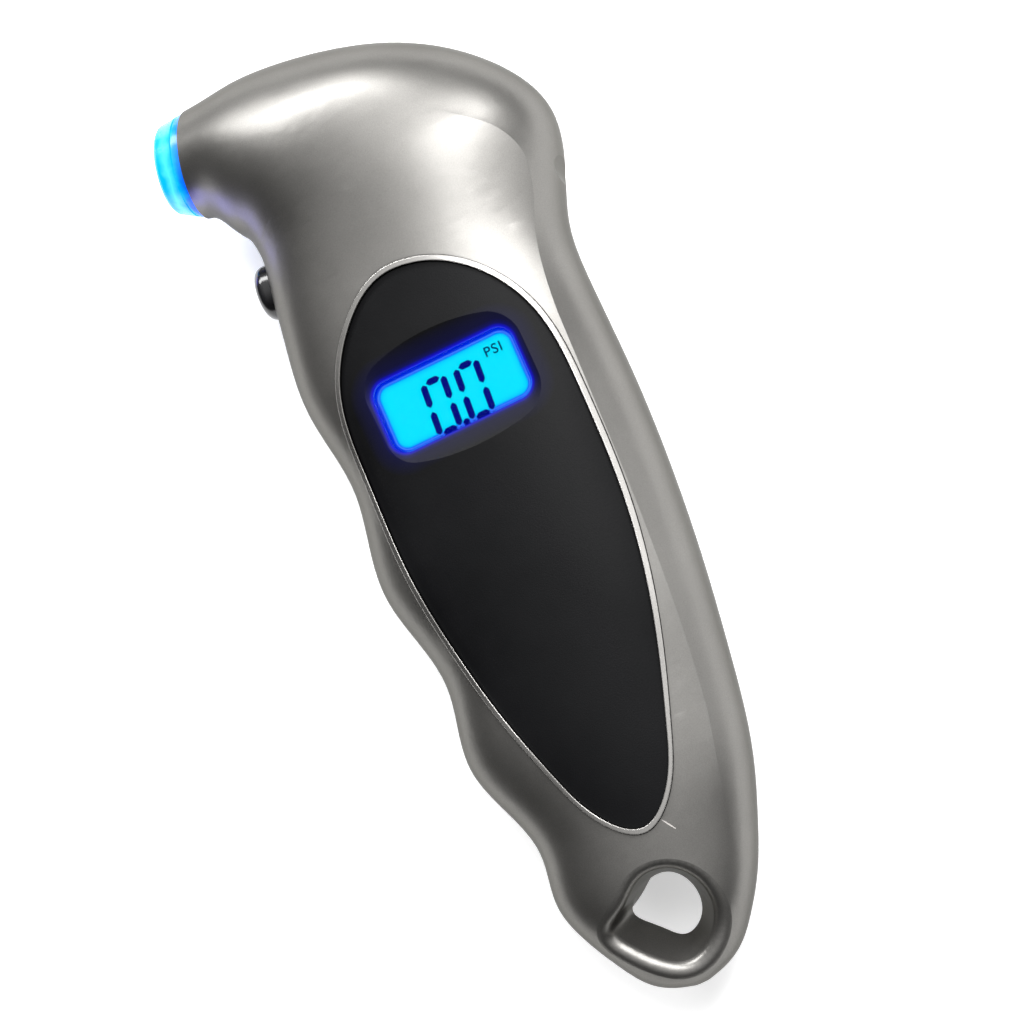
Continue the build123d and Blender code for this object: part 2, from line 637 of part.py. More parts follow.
PIPE_FACE = PIN_FOOT_FACE - PIN_FOOT[1]
with BuildPart() as sensor_pipe:
    add(
        turned(
            (PIPE_BORE_RADIUS, PIPE_FACE),
            (PIN_FOOT[0], PIPE_FACE),
            (PIN_FOOT[0], CHUCK_END),
            (CHUCK_NECK_RADIUS, CHUCK_END),
            (CHUCK_NECK_RADIUS, SADDLES[1][0] + SADDLE_THICKNESS + FIT),
            (PIPE_RADIUS, SADDLES[1][0] + SADDLE_THICKNESS + FIT),
            (PIPE_RADIUS, SADDLES[1][0] - FIT),
            (CHUCK_NECK_RADIUS, SADDLES[1][0] - FIT),
            (CHUCK_NECK_RADIUS, PIPE_END),
            (PIPE_BORE_RADIUS, PIPE_END),
        )
    )

SENSOR_FACE = PIPE_END - WASHER[1]
with BuildPart() as sensor_washer:
    add(washer(PIPE_BORE_RADIUS, WASHER[0], SENSOR_FACE, PIPE_END))

SENSOR_BACK = SENSOR_FACE - SENSOR_LENGTH
with BuildPart() as pressure_sensor:
    add(washer(0, SENSOR_RADIUS, SENSOR_BACK, SENSOR_FACE))
    add(washer(0, PIPE_BORE_RADIUS, SENSOR_FACE - 1, SENSOR_FACE + 1), mode=Mode.SUBTRACT)

LED_FACE = SPIGOT_END - FIT
LED_BACK = LED_FACE - LED[2]
with BuildPart() as ring_board:
    with BuildSketch(RIM.offset(LED_BACK - RING_BOARD[1])):
        Circle(RING_BOARD[0])
        Circle(CHUCK_RADIUS + FIT / 2, mode=Mode.SUBTRACT)
    extrude(amount=RING_BOARD[1])

with BuildPart() as ring_leds:
    with BuildSketch(RIM.offset(LED_BACK)):
        with PolarLocations((CHUCK_RADIUS + RING_BOARD[0]) / 2, 4, 45):
            Rectangle(LED[0], LED[1])
    extrude(amount=LED[2])

# ================================================================ button and switch
with BuildPart() as power_button:
    with BuildSketch(BUTTON.offset(-FLANGE_DEPTH - BUTTON_FLANGE[1])):
        Circle(BUTTON_FLANGE[0])
    extrude(amount=BUTTON_FLANGE[1])
    with BuildSketch(BUTTON.offset(-STEM_END)):
        Circle(PLUNGER_RADIUS)
    extrude(amount=STEM_END)
    with BuildSketch(BUTTON.offset(-FLANGE_DEPTH)):
        Circle(BUTTON_RADIUS)
    extrude(amount=FLANGE_DEPTH + BUTTON_DOME)
    fillet(faces().filter_by(GeomType.PLANE).sort_by(Axis.X)[0].edges(), BUTTON_EDGE)

with BuildPart() as switch_plunger:
    with BuildSketch(BUTTON.offset(-SWITCH_FACE - 1)):
        Circle(PLUNGER_RADIUS)
    extrude(amount=SWITCH_FACE + 1 - STEM_END)

with BuildPart() as button_switch:
    with BuildSketch(BUTTON.offset(-SWITCH_BACK)):
        Rectangle(SWITCH_SIDE, SWITCH_SIDE)
    extrude(amount=SWITCH_DEPTH)
    with BuildSketch(BUTTON.offset(-SWITCH_FACE - 1 - 2 * BUTTON_TRAVEL)):
        Circle(PLUNGER_RADIUS + FIT)
    extrude(amount=5, mode=Mode.SUBTRACT)

# ================================================================ batteries
def along_stack(x, z, radius, start, length):
    """A cylinder along the handle."""
    with BuildPart() as cylinder:
        with BuildSketch(Plane(origin=(x, start, z), x_dir=(1, 0, 0), z_dir=(0, 1, 0))):
            Circle(radius)
        extrude(amount=length)
    return cylinder.part


def button_cell(number):
    """One cell of the stack, counted from the tail end; its flat can is towards the head."""
    start = STACK_LOW + number * CELL_THICKNESS
    cap = along_stack(0, TRAY_Z, CELL_RADIUS - 0.9, start, CELL_LIP)
    return cap + along_stack(0, TRAY_Z, CELL_RADIUS, start + CELL_LIP, CELL_THICKNESS - CELL_LIP)


with BuildPart() as battery_tray:
    side = TRAY_RADIUS + TRAY_WALL
    add(box((-side, side), (TRAY_LOW, TRAY_TOP), (-BAY_OPEN, TRAY_Z + side)))
    inside = (TRAY_LOW + TRAY_WALL, TRAY_TOP - TRAY_WALL)
    add(box((-TRAY_RADIUS, TRAY_RADIUS), inside, (-BAY_OPEN - 1, TRAY_Z)), mode=Mode.SUBTRACT)
    add(along_stack(0, TRAY_Z, TRAY_RADIUS, inside[0], inside[1] - inside[0]), mode=Mode.SUBTRACT)
    add(along_stack(LEAD_X, TRAY_Z, LEAD_RADIUS + FIT, TRAY_LOW - 1, BAY_LENGTH + 5), mode=Mode.SUBTRACT)

with BuildPart() as button_cell_1:
    add(button_cell(0))

with BuildPart() as button_cell_2:
    add(button_cell(1))

with BuildPart() as button_cell_3:
    add(button_cell(2))

with BuildPart() as plate_contact:
    add(along_stack(0, TRAY_Z, TRAY_RADIUS - 1, TRAY_TOP - TRAY_WALL - CONTACT, CONTACT))

with BuildPart() as spring_contact:
    wall, tip = TRAY_LOW + TRAY_WALL, STACK_LOW
    with BuildSketch(Plane.XY.offset(TRAY_Z - 2)):
        with BuildLine():
            Polyline(
                (-4, wall),
                (4, wall),
                (4, wall + 0.3),
                (-2.2, wall + 0.3),
                (1.2, tip - 0.3),
                (3.0, tip - 0.3),
                (3.0, tip),
                (1.0, tip),
                (-4, wall + 0.3),
                close=True,
            )
        make_face()
    extrude(amount=4)

DOOR_FACE_Z = PAD_Z - DOOR_SINK
DOOR_BACK_Z = BAY_OPEN + 0.3
RIB_ENDS = (1 - DOOR_HALF_WIDTH, DOOR_HALF_WIDTH - 1)
with BuildPart() as door_half:
    add(door_block(DOOR_GAP, DOOR_BACK_Z, DOOR_FACE_Z))
    inside = door_block(DOOR_GAP + DOOR_SKIRT, BAY_OPEN, DOOR_FACE_Z - DOOR_THICKNESS)
    add(inside, mode=Mode.SUBTRACT)
    for level in (TRAY_LOW + DOOR_RIB[0], TRAY_TOP - DOOR_RIB[0]):
        add(box(RIB_ENDS, (level - DOOR_RIB[1] / 2, level + DOOR_RIB[1] / 2), (DOOR_BACK_Z, DOOR_FACE_Z - 1)))

with BuildPart() as battery_door:
    add(mirror(door_half.part, about=Plane.XY))

# ================================================================ leads
def lead(*places):
    """A wire through the given places, with rounded corners."""
    with BuildPart() as wire:
        with BuildLine() as path:
            FilletPolyline(*places, radius=1.0)
        with BuildSketch(Plane(origin=path.line @ 0, z_dir=path.line % 0)):
            Circle(LEAD_RADIUS)
        sweep()
    return wire.part


def on_nozzle(up, side, out):
    """The place that far up across the nozzle's axis, to the front side, and out of the rim."""
    return RIM_CENTRE + RIM_UP * up + Vector(0, 0, 1) * side + NOZZLE_DIR * out


BOARD_UNDER = BOARD_BASE - 0.02
BOARD_ROW = BOARD_TOP_EDGE - 2  # where the leads from the head meet the board
with BuildPart() as sensor_leads:
    for across in (-1.6, 0, 1.6):
        x = across - 2
        start = on_nozzle(across, 0, SENSOR_BACK)
        bend = on_nozzle(across, 0, SENSOR_BACK - 3)
        add(lead(start, bend, (x, BOARD_ROW + 6, 3), (x, BOARD_ROW, 3), (x, BOARD_ROW, BOARD_UNDER)))

with BuildPart() as ring_leads:
    for across in (-1, 1):
        x = across - 8
        start = on_nozzle(-7.4, across, LED_BACK - RING_BOARD[1])
        bend = on_nozzle(-7.4, across, LED_BACK - RING_BOARD[1] - 1.7)
        round_rib = on_nozzle(-12.2, across, LED_BACK - RING_BOARD[1] - 1.9)
        past_switch = ((across - 14, 34, 5), (across - 14, 21, 5))
        add(lead(start, bend, round_rib, *past_switch, (x, BOARD_ROW, 3), (x, BOARD_ROW, BOARD_UNDER)))

def cell_lead(start, end):
    """A wire from one end of the tray, out to a level past it and up to the board."""
    return lead((LEAD_X, start, TRAY_Z), (LEAD_X, end, TRAY_Z), (LEAD_X, end, BOARD_UNDER))


with BuildPart() as positive_lead:
    add(cell_lead(TRAY_TOP - TRAY_WALL, TRAY_TOP + 2))

with BuildPart() as negative_lead:
    add(cell_lead(TRAY_LOW + TRAY_WALL, TRAY_LOW - 2))

# ================================================================ finish
PIECES = {
    "front_shell": front_shell,
    "back_shell": back_shell,
    "front_trim": front_trim,
    "back_trim": back_trim,
    "front_panel": front_panel,
    "back_panel": back_panel,
    "display_lens": display_lens,
    "display_glass": display_glass,
    "light_guide": light_guide,
    "backlight_led": backlight_led,
    "contact_strip": contact_strip,
    "circuit_board": circuit_board,
    "controller_chip": controller_chip,
    "board_screws": board_screws,
    "case_screws": case_screws,
    "light_ring": light_ring,
    "nozzle_body": nozzle_body,
    "nozzle_seal": nozzle_seal,
    "depressor_pin": depressor_pin,
    "sensor_pipe": sensor_pipe,
    "sensor_washer": sensor_washer,
    "pressure_sensor": pressure_sensor,
    "ring_board": ring_board,
    "ring_leds": ring_leds,
    "power_button": power_button,
    "switch_plunger": switch_plunger,
    "button_switch": button_switch,
    "battery_tray": battery_tray,
    "button_cell_1": button_cell_1,
    "button_cell_2": button_cell_2,
    "button_cell_3": button_cell_3,
    "plate_contact": plate_contact,
    "spring_contact": spring_contact,
    "battery_door": battery_door,
    "sensor_leads": sensor_leads,
    "ring_leads": ring_leads,
    "positive_lead": positive_lead,
    "negative_lead": negative_lead,
}

os.makedirs("parts", exist_ok=True)
outside = [PIECES[name].part.bounding_box() for name in ("front_shell", "light_ring", "back_panel")]
MIDDLE_X = (min(b.min.X for b in outside) + max(b.max.X for b in outside)) / 2
MIDDLE_Y = (min(b.min.Y for b in outside) + max(b.max.Y for b in outside)) / 2
for name, piece in PIECES.items():
    moved = Pos(-MIDDLE_X, -MIDDLE_Y, PAD_Z) * piece.part
    moved.label = name
    export_step(moved, f"parts/{name}.step")
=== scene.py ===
"""Looks of the tyre pressure gauge: materials, the lit display and nozzle ring, trim and stage."""

import json
import bpy
import bmesh
from math import cos, pi, radians, sin
from mathutils import Matrix, Vector


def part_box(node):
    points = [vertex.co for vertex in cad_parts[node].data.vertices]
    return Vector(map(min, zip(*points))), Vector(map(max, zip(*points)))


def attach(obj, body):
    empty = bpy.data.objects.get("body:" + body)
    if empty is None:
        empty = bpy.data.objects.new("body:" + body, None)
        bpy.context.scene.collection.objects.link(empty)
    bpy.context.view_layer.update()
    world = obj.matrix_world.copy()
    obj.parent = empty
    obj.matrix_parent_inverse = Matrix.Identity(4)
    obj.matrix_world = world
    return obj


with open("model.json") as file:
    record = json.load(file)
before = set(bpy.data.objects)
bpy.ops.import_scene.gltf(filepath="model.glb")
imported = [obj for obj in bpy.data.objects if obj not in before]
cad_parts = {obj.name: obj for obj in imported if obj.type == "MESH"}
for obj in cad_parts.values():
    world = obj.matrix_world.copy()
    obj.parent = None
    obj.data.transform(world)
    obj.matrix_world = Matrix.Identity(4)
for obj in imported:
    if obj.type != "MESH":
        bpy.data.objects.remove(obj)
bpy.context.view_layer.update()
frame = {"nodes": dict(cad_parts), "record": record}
NODES = frame["nodes"]
MM = 0.001

# ---------------------------------------------------------------- places, from the CAD's boxes
lens_low, lens_high = (Vector(p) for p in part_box("display_lens"))
DISPLAY = (lens_low + lens_high) / 2  # display's centre; X and Y of the design origin
MID_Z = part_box("front_shell")[0][2]  # plane where the shells meet
GLASS_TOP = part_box("display_glass")[1][2]
MOUTH = frame["record"]["mounts"][0]
NOZZLE_DIR = Vector(MOUTH["axis"]).normalized()
MOUTH_CENTRE = Vector(MOUTH["pos_m"])
WINDOW = (11.2, 5.5)  # half the display window's width and height, in millimetres
WINDOW_CORNER = 2.4


def place(x, y, z=0.0):
    """A place in millimetres from the display's centre on the shells' meeting plane."""
    return Vector((DISPLAY.x + x * MM, DISPLAY.y + y * MM, MID_Z + z * MM))


# ---------------------------------------------------------------- camera
def view_axes(turn, pitch, roll):
    """The camera's right, up and backward directions."""
    t, p, r = radians(turn), radians(pitch), radians(roll)
    around_y = Matrix(((cos(t), 0, -sin(t)), (0, 1, 0), (sin(t), 0, cos(t))))
    around_x = Matrix(((1, 0, 0), (0, cos(p), sin(p)), (0, -sin(p), cos(p))))
    around_z = Matrix(((cos(r), -sin(r), 0), (sin(r), cos(r), 0), (0, 0, 1)))
    return around_z @ around_x @ around_y


def add_camera():
    camera = bpy.data.objects.new("camera", bpy.data.cameras.new("camera"))
    bpy.context.scene.collection.objects.link(camera)
    axes = view_axes(10, 9, 23.6)
    target = place(-1.1, -18)
    world = axes.transposed().to_4x4()
    world.translation = target + axes.transposed() @ Vector((0, 0, 0.300))
    camera.matrix_world = world
    camera.data.sensor_width = 36
    camera.data.lens = 71.3
    camera.data.clip_start = 0.01
    bpy.context.scene.camera = camera


# ---------------------------------------------------------------- materials
class Look:
    """A node material being built."""

    def __init__(self, name, **settings):
        self.mat = bpy.data.materials.new(name)
        self.mat.use_nodes = True
        self.tree = self.mat.node_tree
        self.shader = self.tree.nodes["Principled BSDF"]
        for socket, value in settings.items():
            self.shader.inputs[socket.replace("_", " ")].default_value = value

    def node(self, kind, **inputs):
        made = self.tree.nodes.new("ShaderNode" + kind)
        for socket, value in inputs.items():
            made.inputs[socket.replace("_", " ")].default_value = value
        return made

    def link(self, source, target):
        self.tree.links.new(source, target)

    def operate(self, kind, operation, values):
        made = self.node(kind)
        made.operation = operation
        for socket, value in zip(made.inputs, values):
            if isinstance(value, bpy.types.NodeSocket):
                self.link(value, socket)
            else:
                socket.default_value = value
        return made.outputs

    def math(self, operation, *values):
        return self.operate("Math", operation, values)["Value"]

    def vector(self, operation, *values):
        outputs = self.operate("VectorMath", operation, values)
        return outputs["Value" if operation in ("DOT_PRODUCT", "LENGTH") else "Vector"]

    def design(self):
        """Millimetres from the display's centre on the shells' meeting plane, as X, Y and Z."""
        away = self.vector("SUBTRACT", self.where(), place(0, 0))
        apart = self.node("SeparateXYZ")
        self.link(self.vector("MULTIPLY", away, (1000, 1000, 1000)), apart.inputs[0])
        return apart.outputs

    def outside_window(self):
        """Millimetres outside the display's rounded window, below nought inside it."""
        x, y, _ = self.design()
        over_x = self.math("SUBTRACT", self.math("ABSOLUTE", x), WINDOW[0] - WINDOW_CORNER)
        over_y = self.math("SUBTRACT", self.math("ABSOLUTE", y), WINDOW[1] - WINDOW_CORNER)
        square_x = self.math("POWER", self.math("MAXIMUM", over_x, 0.0), 2.0)
        square_y = self.math("POWER", self.math("MAXIMUM", over_y, 0.0), 2.0)
        corner = self.math("SQRT", self.math("ADD", square_x, square_y))
        inner = self.math("MINIMUM", self.math("MAXIMUM", over_x, over_y), 0.0)
        return self.math("SUBTRACT", self.math("ADD", corner, inner), WINDOW_CORNER)

    def blend(self, factor, first, second):
        made = self.node("Mix")
        made.data_type = "RGBA"
        for socket, value in ((made.inputs[0], factor), (made.inputs[6], first), (made.inputs[7], second)):
            if isinstance(value, bpy.types.NodeSocket):
                self.link(value, socket)
            else:
                socket.default_value = value
        return made.outputs[2]

    def where(self):
        return self.node("TexCoord").outputs["Object"]

    def noise(self, scale, detail=2.0, rough=0.5, vector=None):
        made = self.node("TexNoise", Scale=scale, Detail=detail, Roughness=rough)
        self.link(vector or self.where(), made.inputs["Vector"])
        return made.outputs["Fac"]

    def ramp(self, factor, stops, blend="LINEAR"):
        made = self.node("ValToRGB")
        ramp = made.color_ramp
        ramp.interpolation = blend
        while len(ramp.elements) < len(stops):
            ramp.elements.new(0.5)
        for element, (at, colour) in zip(ramp.elements, stops):
            element.position = at
            element.color = colour if len(colour) == 4 else (*colour, 1)
        self.link(factor, made.inputs["Fac"])
        return made.outputs["Color"]

    def spread(self, factor, low, high):
        made = self.node("MapRange", To_Min=low, To_Max=high)
        self.link(factor, made.inputs["Value"])
        return made.outputs["Result"]

    def bump(self, height, strength, distance=0.0001, after=None):
        made = self.node("Bump", Strength=strength, Distance=distance)
        self.link(height, made.inputs["Height"])
        if after is not None:
            self.link(after, made.inputs["Normal"])
        return made.outputs["Normal"]

    def set(self, socket, source):
        self.link(source, self.shader.inputs[socket])
        return self


# The shoulder crease from the tail up, in millimetres from the display's centre: how far along it
# is, then how far across. The second list gives how strong it is.
SHOULDER_LINE = [
    (-80, 8.0),
    (-56, 15.5),
    (-25, 18.0),
    (4, 18.3),
    (16, 19.4),
    (26, 24.4),
    (33, 22.0),
    (39, 12.0),
]
SHOULDER_FADE = [(-76, 0), (-60, 0.5), (-20, 0.8), (12, 0.9), (26, 1.0), (36, 0)]
SHOULDER_SPAN = (-80.0, 40.0)
SHOULDER_WIDEST = 30.0
SHOULDER_SLOPES = (4.0, -2.2)  # how fast the ridge falls away inside and outside the crease
SHOULDER_HEIGHT = 0.0007


def shoulder_height(look):
    """Height in metres of the moulded shoulder: a ridge along the spine, with a flat flank outside it."""
    x, y, _ = look.design()
    low, high = SHOULDER_SPAN
    level = look.node("MapRange", From_Min=low, From_Max=high)
    look.link(y, level.inputs["Value"])
    line_stops = [((y - low) / (high - low), (x / SHOULDER_WIDEST,) * 3) for y, x in SHOULDER_LINE]
    fade_stops = [((y - low) / (high - low), (share,) * 3) for y, share in SHOULDER_FADE]
    line = look.ramp(level.outputs["Result"], line_stops, "B_SPLINE")
    fade = look.ramp(level.outputs["Result"], fade_stops, "B_SPLINE")
    across = look.math("SUBTRACT", x, look.math("MULTIPLY", line, SHOULDER_WIDEST))
    inner, outer = SHOULDER_SLOPES
    inside = look.math("EXPONENT", look.math("DIVIDE", look.math("MINIMUM", across, 0.0), inner))
    outside = look.math("EXPONENT", look.math("DIVIDE", look.math("MAXIMUM", across, 0.0), outer))
    ridge = look.math("MULTIPLY", look.math("MULTIPLY", inside, outside), fade)
    return look.math("MULTIPLY", ridge, SHOULDER_HEIGHT)


SCUFF = (3.4, -68.7)  # centre of the small scuff by the panel's lower end
SCUFF_TURN = (0.55, -0.83)  # its direction
SCUFF_SIZE = (1.3, 0.11)  # half its length and width


def scratch_mask(look):
    """One where the small scuff near the tail is, on the front."""
    x, y, z = look.design()
    off_x, off_y = look.math("SUBTRACT", x, SCUFF[0]), look.math("SUBTRACT", y, SCUFF[1])
    turn_x, turn_y = SCUFF_TURN
    along = look.math("ADD", look.math("MULTIPLY", off_x, turn_x), look.math("MULTIPLY", off_y, turn_y))
    across = look.math("ADD", look.math("MULTIPLY", off_x, -turn_y), look.math("MULTIPLY", off_y, turn_x))
    long = look.math("POWER", look.math("DIVIDE", along, SCUFF_SIZE[0]), 2.0)
    wide = look.math("POWER", look.math("DIVIDE", across, SCUFF_SIZE[1]), 2.0)
    rough = look.math("MULTIPLY", look.noise(3000, 3.0), 0.9)
    inside = look.math("LESS_THAN", look.math("ADD", look.math("ADD", long, wide), rough), 1.2)
    return look.math("MULTIPLY", inside, look.math("GREATER_THAN", z, 0.0))


def paint(name, colour, rough=0.33, shell=False):
    """Metallic paint: fine flakes, a little orange peel and faint blotches, with painted shade darkening it
    in crevices and beside the trim's bead.
    """
    look = Look(name, Metallic=0.92, Coat_Weight=0.06, Coat_Roughness=0.2)
    look.shader.inputs["Specular Tint"].default_value = (0.30, 0.30, 0.29, 1)
    flakes = look.noise(9000, 1.0)
    blotches = look.noise(90, 3.0)
    dark = tuple(c * 0.86 for c in colour)
    light = tuple(min(1, c * 1.12) for c in colour)
    flaked = look.ramp(flakes, [(0.35, dark), (0.65, light)])
    mixed = look.blend(0.35, flaked, look.ramp(blotches, [(0.3, dark), (0.7, light)]))
    # Painted shade: an ambient occlusion mask blends the colour towards near black in crevices, drawing dark
    # lines beside the trim's bead.
    crevice_shade = look.node("AmbientOcclusion", Distance=0.0006)
    crevice_shade.samples = 8
    unshaded_share = look.ramp(crevice_shade.outputs["AO"], [(0.45, (0, 0, 0)), (0.90, (1, 1, 1))])
    mixed = look.blend(unshaded_share, (0.008, 0.008, 0.008, 1), mixed)
    normal = look.bump(look.noise(700, 2.0), 0.05, 0.0001)
    if shell:
        scuff = scratch_mask(look)
        mixed = look.blend(scuff, mixed, (0.55, 0.52, 0.50, 1))
        look.set("Metallic", look.spread(scuff, 0.92, 0.0))
        look.set("Coat Weight", look.spread(scuff, 0.06, 0.0))
        normal = look.bump(shoulder_height(look), 1.0, 1.0, normal)
    else:
        rounded = look.node("Bevel", Radius=0.00025)
        rounded.samples = 6
        normal = look.bump(flakes, 0.02, 0.00003, rounded.outputs["Normal"])
    look.set("Base Color", mixed)
    look.set("Roughness", look.spread(blotches, rough - 0.03, rough + 0.04))
    look.set("Normal", look.bump(flakes, 0.05, 0.00003, normal))
    return look.mat


def textured_plastic(name, colour, rough=0.5, grain=4500, depth=0.35):
    """Moulded plastic with an etched grain and faint rubbing marks."""
    look = Look(name)
    grain_height = look.noise(grain, 2.0, 0.6)
    wear = look.noise(60, 4.0, 0.6)
    light = tuple(c * 1.5 for c in colour)
    look.set("Base Color", look.ramp(wear, [(0.35, colour), (0.75, light)]))
    look.set("Roughness", look.spread(wear, rough - 0.06, rough + 0.08))
    look.set("Normal", look.bump(grain_height, depth, 0.00006))
    return look.mat


def smooth_plastic(name, colour, rough=0.2, coat=0.0):
    """Polished plastic or rubber with slight unevenness."""
    look = Look(name, Coat_Weight=coat, Coat_Roughness=0.05)
    wear = look.noise(250, 3.0)
    light = tuple(min(1, c * 1.25 + 0.004) for c in colour)
    look.set("Base Color", look.ramp(wear, [(0.3, colour), (0.8, light)]))
    look.set("Roughness", look.spread(wear, rough - 0.05, rough + 0.08))
    look.set("Normal", look.bump(look.noise(900), 0.04, 0.00005))
    return look.mat


def bare_metal(name, colour, rough=0.25):
    """Turned or plated metal with fine scratches."""
    look = Look(name, Metallic=1.0)
    scratches = look.noise(3500, 3.0, 0.7)
    light = tuple(min(1, c * 1.15) for c in colour)
    look.set("Base Color", look.ramp(scratches, [(0.3, colour), (0.7, light)]))
    look.set("Roughness", look.spread(scratches, rough - 0.07, rough + 0.1))
    look.set("Normal", look.bump(scratches, 0.08, 0.00002))
    return look.mat


def glow(name, colour, light, strength, rough=0.3):
    """Lit plastic, uneven where the lamp behind it is."""
    look = Look(name, Emission_Strength=strength, Roughness=rough)
    look.shader.inputs["Base Color"].default_value = (*colour, 1)
    patches = look.noise(260, 2.0)
    deep = (light[0] * 0.5, light[1] * 0.75, light[2], 1)
    look.set("Emission Color", look.ramp(patches, [(0.35, deep), (0.65, (*light, 1))]))
    return look.mat


def panel_material():
    """Black panel with a fine grain; its dish has a painted blue glow, made by emission, standing in for the
    display's light.
    """
    look = Look("panel_black", Specular_IOR_Level=0.10)
    wear = look.noise(60, 4.0, 0.6)
    blacks = [(0.35, (0.0030, 0.0031, 0.0036)), (0.75, (0.0055, 0.0056, 0.0062))]
    look.set("Base Color", look.ramp(wear, blacks))
    look.set("Roughness", look.spread(wear, 0.40, 0.52))
    look.set("Normal", look.bump(look.noise(4500, 2.0, 0.6), 0.35, 0.00006))
    # Painted light: emission on the dish near the window, blue by the window's edge and fading outwards,
    # stands in for the display's light.
    reach = look.math("MULTIPLY", look.outside_window(), 0.25)
    height = look.node("MapRange", From_Min=10.0, From_Max=11.0)
    look.link(look.design()[2], height.inputs["Value"])
    stops = [
        (0.0, (0, 0.01, 0.75)),
        (0.06, (0, 0.0, 0.55)),
        (0.16, (0, 0, 0.10)),
        (0.3, (0, 0, 0.03)),
        (0.9, (0, 0, 0)),
    ]
    look.set("Emission Color", look.blend(height.outputs["Result"], (0, 0, 0, 1), look.ramp(reach, stops)))
    look.shader.inputs["Emission Strength"].default_value = 1.0
    return look.mat


PAINT = paint("silver_paint", (0.205, 0.20, 0.19), 0.37, True)
TRIM_PAINT = paint("trim_paint", (0.40, 0.39, 0.375), 0.24)
PANEL = panel_material()
BUTTON = smooth_plastic("button_black", (0.006, 0.006, 0.007), 0.18, 0.3)
RUBBER = smooth_plastic("seal_rubber", (0.012, 0.012, 0.012), 0.5)
BLACK = textured_plastic("moulded_black", (0.015, 0.015, 0.016), 0.45)
BRASS = bare_metal("brass", (0.63, 0.45, 0.19), 0.25)
STEEL = bare_metal("plated_steel", (0.55, 0.55, 0.56), 0.28)
NICKEL = bare_metal("nickel", (0.66, 0.65, 0.63), 0.16)
BOARD = smooth_plastic("board_green", (0.01, 0.10, 0.03), 0.35)
RED = smooth_plastic("lead_red", (0.42, 0.015, 0.012), 0.4)


def finish_node(names, material):
    """Gives CAD nodes a material."""
    for name in names.split():
        mesh = NODES[name].data
        mesh.materials.clear()
        mesh.materials.append(material)


def display_material():
    """Lit display: even cyan, with the deep blue edges of the backlight's frame."""
    look = Look("display_lit", Roughness=0.3, Emission_Strength=1.0, Specular_IOR_Level=0.0)
    look.set("Base Color", look.ramp(look.noise(300), [(0.3, (0.0, 0.005, 0.02)), (0.7, (0.0, 0.01, 0.03))]))
    depth = look.math("MULTIPLY", look.outside_window(), -0.5)
    patches = look.math("MULTIPLY", look.noise(60), 0.06)
    stops = [
        (0.0, (0.0, 0.01, 0.62)),
        (0.16, (0.0, 0.03, 0.80)),
        (0.24, (0.06, 0.22, 0.95)),
        (0.34, (0.0, 0.12, 0.90)),
        (0.46, (0.0, 0.60, 1.0)),
        (0.75, (0.0, 0.76, 1.0)),
    ]
    look.set("Emission Color", look.ramp(look.math("ADD", depth, patches), stops))
    return look.mat


def lens_material():
    look = Look("display_window", Transmission_Weight=1.0, Roughness=0.03, IOR=1.12, Specular_IOR_Level=0.2)
    tint = look.ramp(look.noise(120), [(0.3, (0.95, 0.99, 1.0)), (0.7, (1.0, 1.0, 1.0))])
    look.set("Base Color", tint)
    look.set("Roughness", look.spread(look.noise(800), 0.02, 0.05))
    return look.mat


def ring_material():
    """Frosted ring: whitest where the lamps show through, deep blue by the shell."""
    look = Look("nozzle_ring_lit", Roughness=0.25, Emission_Strength=1.0)
    look.shader.inputs["Base Color"].default_value = (0.0, 0.18, 0.42, 1)
    along = look.node("VectorMath")
    along.operation = "DOT_PRODUCT"
    along.inputs[1].default_value = NOZZLE_DIR
    look.link(look.where(), along.inputs[0])
    tip = MOUTH_CENTRE.dot(NOZZLE_DIR) + 2.6 * MM
    depth = look.node("MapRange", From_Min=tip - 5.0 * MM, From_Max=tip)
    look.link(along.outputs["Value"], depth.inputs["Value"])
    added = look.node("Math")
    added.operation = "MULTIPLY_ADD"
    added.inputs[1].default_value = 0.35
    look.link(look.noise(420, 2.0), added.inputs[0])
    look.link(depth.outputs["Result"], added.inputs[2])
    stops = [
        (0.20, (0.0, 0.0, 0.45)),
        (0.36, (0.0, 0.06, 1.0)),
        (0.52, (0.0, 0.36, 1.0)),
        (0.78, (0.10, 0.80, 1.0)),
        (1.0, (0.0, 0.42, 1.0)),
    ]
    look.set("Emission Color", look.ramp(added.outputs["Value"], stops))
    return look.mat


# ---------------------------------------------------------------- mesh helpers
def new_object(name, mesh, body, material):
    made = bpy.data.objects.new(name, mesh)
    bpy.context.scene.collection.objects.link(made)
    mesh.materials.append(material)
    for face in mesh.polygons:
        face.use_smooth = True
    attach(made, body)
    return made


def flat_prism(name, outlines, z, thick, body, material):
    """Flat pieces with the given outlines (in metres), lying at height z."""
    build = bmesh.new()
    for outline in outlines:
        low = [build.verts.new((x, y, z)) for x, y in outline]
        high = [build.verts.new((x, y, z + thick)) for x, y in outline]
        build.faces.new(high)
        build.faces.new(list(reversed(low)))
        count = len(outline)
        for i in range(count):
            j = (i + 1) % count
            build.faces.new((low[i], low[j], high[j], high[i]))
    bmesh.ops.recalc_face_normals(build, faces=build.faces)
    mesh = bpy.data.meshes.new(name)
    build.to_mesh(mesh)
    build.free()
    made = new_object(name, mesh, body, material)
    for face in mesh.polygons:
        face.use_smooth = False
    return made


# ---------------------------------------------------------------- display
def ink(name, light):
    """Dark display ink that lets a little blue through."""
    look = Look(name, Roughness=0.6, Emission_Strength=1.0, Specular_IOR_Level=0.0)
    look.set("Base Color", look.ramp(look.noise(500), [(0.3, (0, 0, 0.01)), (0.7, (0, 0, 0.02))]))
    brighter = tuple(c * 1.1 for c in light)
    look.set("Emission Color", look.ramp(look.noise(700), [(0.3, light), (0.7, brighter)]))
    return look.mat


